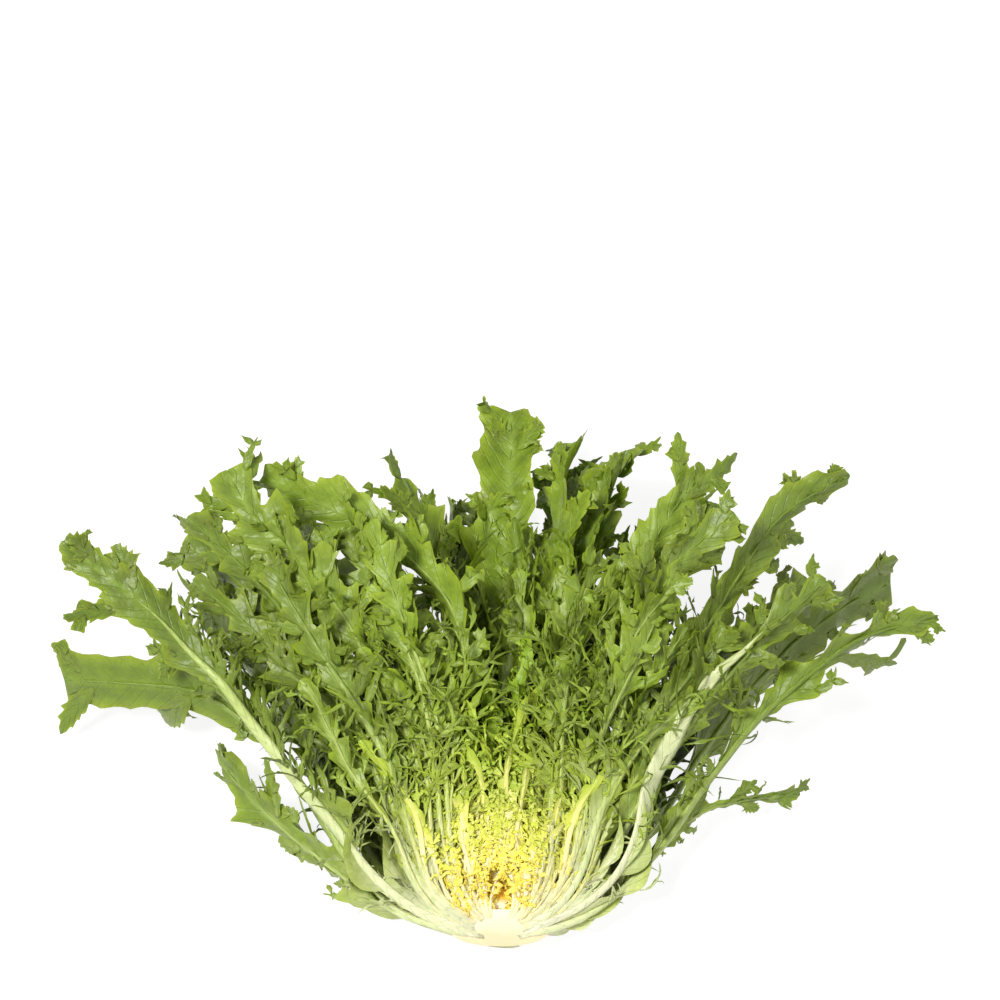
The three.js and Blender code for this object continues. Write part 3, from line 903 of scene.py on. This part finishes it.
class Nodes:
    # the nodes of one material: numbers and colours are set, and outputs of other nodes are linked
    def __init__(self, owner):
        owner.use_nodes = True
        self.tree = owner.node_tree

    def feed(self, socket, value):
        if isinstance(value, bpy.types.NodeSocket):
            self.tree.links.new(value, socket)
        else:
            socket.default_value = value

    def add(self, kind, inputs, output=0, **settings):
        made = self.tree.nodes.new("ShaderNode" + kind)
        for key, value in settings.items():
            setattr(made, key, value)
        for key, value in inputs.items():
            self.feed(made.inputs[key], value)
        return made.outputs[output]

    def mark(self, name):
        return self.add("Attribute", {}, "Fac", attribute_name=name)

    def calc(self, operation, *values):
        return self.add("Math", dict(enumerate(values)), operation=operation)

    def remap(self, value, low, high, toLow=0, toHigh=1):
        span = {"From Min": low, "From Max": high, "To Min": toLow, "To Max": toHigh}
        return self.add("MapRange", {"Value": value, **span})

    def mix(self, share, first, second):
        return self.add("Mix", {0: share, 6: first, 7: second}, 2, data_type="RGBA")

    def noise(self, scale, detail=2):
        place = self.add("TexCoord", {}, "Object")
        return self.add("TexNoise", {"Vector": place, "Scale": scale, "Detail": detail}, "Fac")

    def bump(self, height, strength, distance):
        return self.add("Bump", {"Height": height, "Strength": strength, "Distance": distance})

    def ramp(self, value, stops):
        made = self.tree.nodes.new("ShaderNodeValToRGB")
        points = made.color_ramp.elements
        while len(points) < len(stops):
            points.new(0.5)
        for point, (place, colour) in zip(points, stops):
            point.position = place
            point.color = linear(*colour)
        self.tree.links.new(value, made.inputs[0])
        return made.outputs[0]

    def finish(self, values):
        shader = self.tree.nodes["Principled BSDF"]
        for key, value in values.items():
            self.feed(shader.inputs[key], value)


leafLooks = {
    "longest": 220,  # distance from the crown, in millimetres, that the colour ramps end at
    "patches": 55,  # scale of the larger patches, and of the fine mottling
    "mottle": 160,
    # darkest and lightest ends of the patches and lobe tones: the leaf's own mottling, stretched into
    # painted shade and painted highlight
    "dark": 0.42,
    "light": 1.2,
    "under": (140, 160, 70),
    "underShare": 0.35,
    # how far the margins lighten: partly their own paler green, partly a painted highlight
    "rim": 0.45,
    "rimColour": (170, 192, 50),
    "vein": 0.25,
    "veinGap": 3.2,  # half the distance between side veins
    "veinSweep": -7,  # how far forwards they lean on their way to the margin
    "veinWobble": 5,
    "ribSides": 0.5,  # how pale a midrib stays at its sides
    "bump": 0.75,
    "bumpHeight": 0.0012,
    "blisters": 3.5,
    "veinsSunk": -0.8,
    "roughness": 0.38,
    "specular": 0.33,
    "subsurface": 0.14,
    "scatter": (0.6, 1.0, 0.25),
}


def leafMaterial(name, blade, rib, looks):
    material = bpy.data.materials.new(name)
    n = Nodes(material)
    edge, tone, ribHere = n.mark("edge"), n.mark("tone"), n.mark("rib")
    patches, mottle = n.noise(looks["patches"], 4), n.noise(looks["mottle"], 5)
    # colour by the distance from the crown, a little uneven
    away = n.calc("DIVIDE", n.mark("away"), looks["longest"])
    away = n.calc("MULTIPLY_ADD", patches, 0.12, away)
    # lighter and darker patches and a random tone for each lobe, stretched past the leaf's own mottling
    # into painted shade and painted highlight, but none on the pale parts near the crown
    level = n.calc("MULTIPLY_ADD", tone, 0.45, mottle)
    level = n.remap(level, 0.35, 1.05, looks["dark"], looks["light"])
    toneWithPaintedShade = n.add("Mix", {0: n.remap(away, 0.12, 0.36), 2: 1, 3: level}, data_type="FLOAT")
    colour = n.add("HueSaturation", {"Value": toneWithPaintedShade, "Color": n.ramp(away, blade)})
    # lighter margins, partly their own paler green and partly a painted highlight, and a paler underside
    colour = n.mix(n.remap(edge, 0.55, 1, 0, looks["rim"]), colour, linear(*looks["rimColour"]))
    underShare = n.calc("MULTIPLY", n.mark("under"), looks["underShare"])
    colour = n.mix(underShare, colour, linear(*looks["under"]))
    # veins: pale lines that sweep forwards from the midrib
    swept = n.calc("MULTIPLY_ADD", edge, looks["veinSweep"], n.mark("veinAlong"))
    wobble = n.calc("MULTIPLY_ADD", patches, looks["veinWobble"], swept)
    vein = n.remap(n.calc("PINGPONG", wobble, looks["veinGap"]), 0, 0.5, looks["vein"], 0)
    ribMiddle = n.calc("MULTIPLY", ribHere, n.remap(edge, 0.3, 1, 1, looks["ribSides"]))
    colour = n.mix(n.calc("MAXIMUM", ribMiddle, vein), colour, n.ramp(away, rib))
    # blistered surface with sunken veins
    swell = n.calc("MULTIPLY_ADD", patches, looks["blisters"], mottle)
    high = n.calc("MULTIPLY_ADD", vein, looks["veinsSunk"], swell)
    n.finish({
        "Base Color": colour,
        "Normal": n.bump(high, looks["bump"], looks["bumpHeight"]),
        "Roughness": n.remap(mottle, 0, 1, looks["roughness"] - 0.07, looks["roughness"] + 0.1),
        "Specular IOR Level": looks["specular"],
        "Subsurface Weight": looks["subsurface"],
        "Subsurface Scale": 0.0015,
        "Subsurface Radius": looks["scatter"],
    })
    return material


leafMaterials = {
    "outer_green_leaf": leafMaterial(
        "outerGreenLeaf",
        [(0.19, (246, 241, 204)), (0.3, (210, 219, 146)), (0.39, (130, 152, 44)), (0.55, (104, 125, 26)),
         (1, (97, 116, 23))],
        [(0.04, (244, 240, 212)), (0.18, (221, 228, 174)), (0.36, (188, 203, 120)), (0.55, (150, 170, 82)),
         (0.75, (122, 144, 52))],
        leafLooks,
    ),
    "mid_green_leaf": leafMaterial(
        "midGreenLeaf",
        [(0.08, (250, 234, 130)), (0.17, (238, 226, 70)), (0.27, (180, 198, 38)), (0.42, (136, 164, 32)),
         (1, (116, 138, 29))],
        [(0.08, (248, 240, 214)), (0.2, (240, 236, 190)), (0.32, (200, 212, 112)), (0.5, (184, 202, 110)),
         (0.75, (136, 160, 60))],
        leafLooks,
    ),
    "heart_yellow_leaf": leafMaterial(
        "heartYellowLeaf",
        [(0.06, (255, 222, 80)), (0.12, (255, 224, 48)), (0.18, (255, 238, 66)), (0.23, (216, 226, 58)),
         (0.31, (142, 176, 40))],
        [(0.06, (255, 242, 208)), (0.2, (255, 241, 182)), (0.28, (246, 238, 140)), (0.36, (196, 210, 84)),
         (0.46, (142, 172, 50))],
        # the heart's lighter margins are partly their own paler yellow and partly a painted highlight
        {**leafLooks, "under": (255, 240, 110), "underShare": 0.3, "rim": 0.2, "rimColour": (255, 240, 90),
         # in the heart the patches only lighten the colour, up to 1.15: a painted glow standing in for
         # light passing through the blanched leaves
         "ribSides": 0.8, "vein": 0.05, "light": 1.15, "dark": 1.0, "subsurface": 0.1,
         "scatter": (1.0, 0.9, 0.4)},
    ),
}
print("materials made")

crownLooks = {
    "turns": 96,
    "steps": 16,
    "bowl": 0.85,  # fullness of the butt: below 1 is fuller than round
    "dome": 6,  # height of the part that shows between the feet of the leaves
    "coreWide": 0.6,  # the core behind the feet of the heart leaves, to the crown's size
    "coreHigh": 2.3,
    "coreDeep": 3.2,
    "yellowFrom": 4.5,  # the core turns yellow like the heart leaves above the dome
    "yellowTo": 6.5,
    "warmFrom": 2,  # where the flesh starts to turn warmer, and where it is warmest
    "warmTo": -11,
    "ridge": 0.35,  # low ridges that the leaf feet left round it
    "ridges": 26,
    "ridgeFrom": (8, 18),
}

slots = {
    "outer_green_leaf": ["table_leaf", "outer_leaf", "rib_leaf", "broad_leaf"],
    "mid_green_leaf": ["tall_leaf", "middle_leaf", "young_leaf"],
    "heart_yellow_leaf": ["inner_leaf", "heart_leaf", "heart_tuft"],
}
slotOf = {ring: slot for slot, rings in slots.items() for ring in rings}
sisterShape = {  # leaves that only fill in
    "mostRows": 62,
    "around": (-3, 183),  # how far round the head they may stand
    "inCut": 14,  # degrees that those in the cut may stand away from it
    "lean": (-0.1, 0.08),  # to their ring's own lean
    "reach": (0.66, 0.86),  # to the length of the leaf they stand round
}
loosely = {"tipHook": 0.04, "tipBow": 0.25}  # how unlike each other a ring's plain leaves end


def growSisters(piece, rng, ring, form, layer, around, reach):
    # more, smaller leaves of the same kind round a leaf, and some of them in the cut
    s = sisterShape
    spread = 180 / len(ring["around"]) / 2
    for i in range(form["sisters"]):
        angle = np.clip(around + rng.uniform(-spread, spread), *s["around"])
        if rng.random() < form["sistersAtCut"]:
            onRight = around < 90 or (around == 90 and i % 2)
            angle = rng.uniform(0, s["inCut"]) if onRight else rng.uniform(180 - s["inCut"], 180)
        low, high = form["sisterLean"] or (ring["lean"] + more for more in s["lean"])
        lean = low + (high - low) * (i + rng.random()) / form["sisters"]
        sister = {**baseForm, **ring["form"], **ring.get("sisterForm", {})}
        sister["rows"] = min(sister["rows"], s["mostRows"])
        sisterReach = reach * rng.uniform(*ring.get("sisterReach", s["reach"]))
        growLeaf(piece, rng, sister, lean, layer, angle, sisterReach)


def makeLeaf(node, ring, layer, slot, i):
    around, reach = ring["around"][i], ring["reach"][i]
    rng = np.random.default_rng(1000 * layer + 10 * i + 7)  # its own seed, so no leaf changes another
    form = {**baseForm, **ring["form"], **ownForms.get(node, {})}
    for key, most in loosely.items():
        form[key] += (node not in ownForms) * rng.normal(0, most)
    piece = Piece("leaf_" + node, ring.get("curlProud", 0.0))
    growLeaf(piece, rng, form, ring["lean"], layer, around, reach)
    growSisters(piece, rng, ring, form, layer, around, reach)
    return piece.make(leafMaterials[slot], [node])


totalFaces = 0
for layer, (ringName, ring) in enumerate(leafRings.items()):
    slot = slotOf[ringName]
    faces = 0
    for i in range(len(ring["around"])):
        node = f"{ringName}_{i + 1}" if len(ring["around"]) > 1 else ringName
        made = makeLeaf(node, ring, layer, slot, i)
        faces += len(made.data.loops) - 2 * len(made.data.polygons)
    totalFaces += faces
    print(ringName, "grown, triangles:", faces)
print("leaves grown, triangles:", totalFaces)


def crownMaterial():
    material = bpy.data.materials.new("crownFlesh")
    n = Nodes(material)
    uneven = n.noise(120)
    along = n.add("SeparateXYZ", {0: n.add("TexCoord", {}, "Object")}, "Y")
    low = n.remap(along, crownLooks["warmFrom"] * mm, crownLooks["warmTo"] * mm)
    flesh = n.ramp(n.calc("MULTIPLY_ADD", uneven, 0.5, low), [
        (0.2, (246, 238, 212)), (0.5, (244, 236, 206)), (0.8, (242, 228, 190)), (1, (236, 216, 172))])
    high = n.remap(along, crownLooks["yellowFrom"] * mm, crownLooks["yellowTo"] * mm)
    yellow = n.ramp(uneven, [(0.35, (244, 178, 24)), (0.65, (252, 212, 60))])
    n.finish({
        "Base Color": n.mix(high, flesh, yellow),
        "Normal": n.bump(uneven, 0.25, 0.001),
        "Roughness": 0.42,
        "Subsurface Weight": 0.15,
        "Subsurface Scale": 0.003,
    })
    return material


def makeCrown():
    h, c = headShape, crownLooks
    quarter = np.linspace(0, math.pi / 2, c["steps"])
    profile = [(0.0, -h["buttLength"])]
    for turn in quarter[1:]:
        deep = max(math.cos(turn), 0) ** c["bowl"]
        profile.append((h["buttRadius"] * math.sin(turn) ** c["bowl"], -h["buttLength"] * deep))
    for turn in np.linspace(math.pi / 2, 0, c["steps"])[1:-1]:
        profile.append((h["crownRadius"] * math.sin(turn), c["dome"] * math.cos(turn)))
    profile.append((0.0, c["dome"]))
    profile = np.array(profile)
    angles = np.linspace(0, math.pi, c["turns"] + 1)
    ridge = c["ridge"] * np.sin(angles * c["ridges"]) * np.sin(angles) ** 0.5
    out = profile[:, 0][:, None] + ridge[None] * smooth(profile[:, 0], *c["ridgeFrom"])[:, None]
    up = np.broadcast_to(profile[:, 1][:, None], out.shape)
    points = np.stack([out * np.cos(angles), up, -out * np.sin(angles)], -1)
    rows, turns = points.shape[:2]
    # a second, deeper body: the solid core that the heart leaves grow from
    core = points * c["coreWide"] - np.array([0, 0, c["coreDeep"]])
    core[..., 1] = np.where(core[..., 1] > 0, points[..., 1] * c["coreHigh"], core[..., 1])
    index = np.arange(rows * turns).reshape(rows, turns)
    faces = []
    for body in (index, index + rows * turns):
        a, b = body[:-1], body[1:]
        faces += np.stack([a[:, :-1], a[:, 1:], b[:, 1:], b[:, :-1]], -1).reshape(-1, 4).tolist()
        faces.append(body[:, 0].tolist() + body[::-1, -1].tolist())
    placed = toTable(np.concatenate([points.reshape(-1, 3), core.reshape(-1, 3)]))
    mesh = bpy.data.meshes.new("crownStem")
    mesh.from_pydata(placed.tolist(), [], faces)
    mesh.update()
    work = bmesh.new()
    work.from_mesh(mesh)
    bmesh.ops.remove_doubles(work, verts=work.verts, dist=1e-5)
    bmesh.ops.recalc_face_normals(work, faces=work.faces)
    work.to_mesh(mesh)
    work.free()
    made = bpy.data.objects.new("crownStem", mesh)
    bpy.context.scene.collection.objects.link(made)
    mesh.materials.append(crownMaterial())
    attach(made, "root")
    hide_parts("crown")
    print("crown made")


makeCrown()

sceneSetup = {
    "elevation": 62,  # camera's height over the horizon, in degrees
    "distance": 1.5,
    "frameWidth": 0.381,  # what the camera sees from side to side, at the head
    "lookAbove": 0.162,  # how far over the crown the camera looks
    "ambient": 0.28,
    "keyLight": {"place": (-0.75, -0.25, 1.45), "size": 0.55, "power": 27.3},
    "fillLight": {"place": (1.1, -0.6, 0.9), "size": 1.0, "power": 4.9},
    "tableReach": 30,
    "tableGrey": 0.92,
    "shadowGrey": 0.26,  # how strongly the white table shows the head's shadow
    "tableGlow": 0.87,
}


def grey(level):
    return (level, level, level, 1)


def whiteWhenSeen(n, seen, other):
    # the shader that the camera and reflections see, and the one that lights and shades
    path = n.tree.nodes.new("ShaderNodeLightPath").outputs
    either = n.calc("MAXIMUM", path["Is Camera Ray"], path["Is Glossy Ray"])
    either = n.calc("MAXIMUM", either, path["Is Transmission Ray"])
    return n.add("MixShader", {0: either, 1: other, 2: seen})


def makeStage():
    mesh = bpy.data.meshes.new("tableTop")
    reach = sceneSetup["tableReach"]
    corners = [(-reach, -reach, 0), (reach, -reach, 0), (reach, reach, 0), (-reach, reach, 0)]
    mesh.from_pydata(corners, [], [(0, 1, 2, 3)])
    table = bpy.data.objects.new("tableTop", mesh)
    bpy.context.scene.collection.objects.link(table)
    material = bpy.data.materials.new("paleTable")
    n = Nodes(material)
    n.finish({"Base Color": grey(sceneSetup["tableGrey"]), "Roughness": 0.9, "Specular IOR Level": 0.1})
    faint = n.add("BsdfDiffuse", {"Color": grey(sceneSetup["shadowGrey"])})
    glow = n.add("Emission", {"Strength": sceneSetup["tableGlow"]})
    seen = n.add("AddShader", {0: faint, 1: glow})
    plain = n.tree.nodes["Principled BSDF"].outputs[0]
    n.feed(n.tree.nodes["Material Output"].inputs["Surface"], whiteWhenSeen(n, seen, plain))
    mesh.materials.append(material)


def makeWorld():
    world = bpy.data.worlds.new("studio")
    bpy.context.scene.world = world
    n = Nodes(world)
    plain = n.tree.nodes["Background"]
    plain.inputs["Color"].default_value = grey(1)
    plain.inputs["Strength"].default_value = sceneSetup["ambient"]
    white = n.add("Background", {"Color": grey(1), "Strength": 1})
    n.feed(n.tree.nodes["World Output"].inputs["Surface"], whiteWhenSeen(n, white, plain.outputs[0]))


def aim(thing, target):
    thing.rotation_euler = (Vector(target) - Vector(thing.location)).to_track_quat("-Z", "Y").to_euler()


def addLight(name, target):
    light = sceneSetup[name]
    data = bpy.data.lights.new(name, "AREA")
    data.shape = "DISK"
    data.size = light["size"]
    data.energy = light["power"]
    made = bpy.data.objects.new(name, data)
    bpy.context.scene.collection.objects.link(made)
    made.location = light["place"]
    aim(made, target)


makeStage()
makeWorld()
crownCentre = np.array([0, crownForward, crownHeight]) * mm
rise = math.radians(sceneSetup["elevation"])
back = np.array([0, -math.cos(rise), math.sin(rise)])
upward = np.array([0, math.sin(rise), math.cos(rise)])
lookAt = crownCentre + upward * sceneSetup["lookAbove"]
cameraData = bpy.data.cameras.new("camera")
camera = bpy.data.objects.new("camera", cameraData)
bpy.context.scene.collection.objects.link(camera)
camera.location = tuple(lookAt + back * sceneSetup["distance"])
aim(camera, tuple(lookAt))
cameraData.sensor_width = 36
cameraData.lens = cameraData.sensor_width * sceneSetup["distance"] / sceneSetup["frameWidth"]
bpy.context.scene.camera = camera
headMiddle = tuple((cadBox[0] + cadBox[1]) / 2)
addLight("keyLight", headMiddle)
addLight("fillLight", headMiddle)
bpy.context.scene.view_settings.view_transform = "Standard"
print("table, light and camera set")
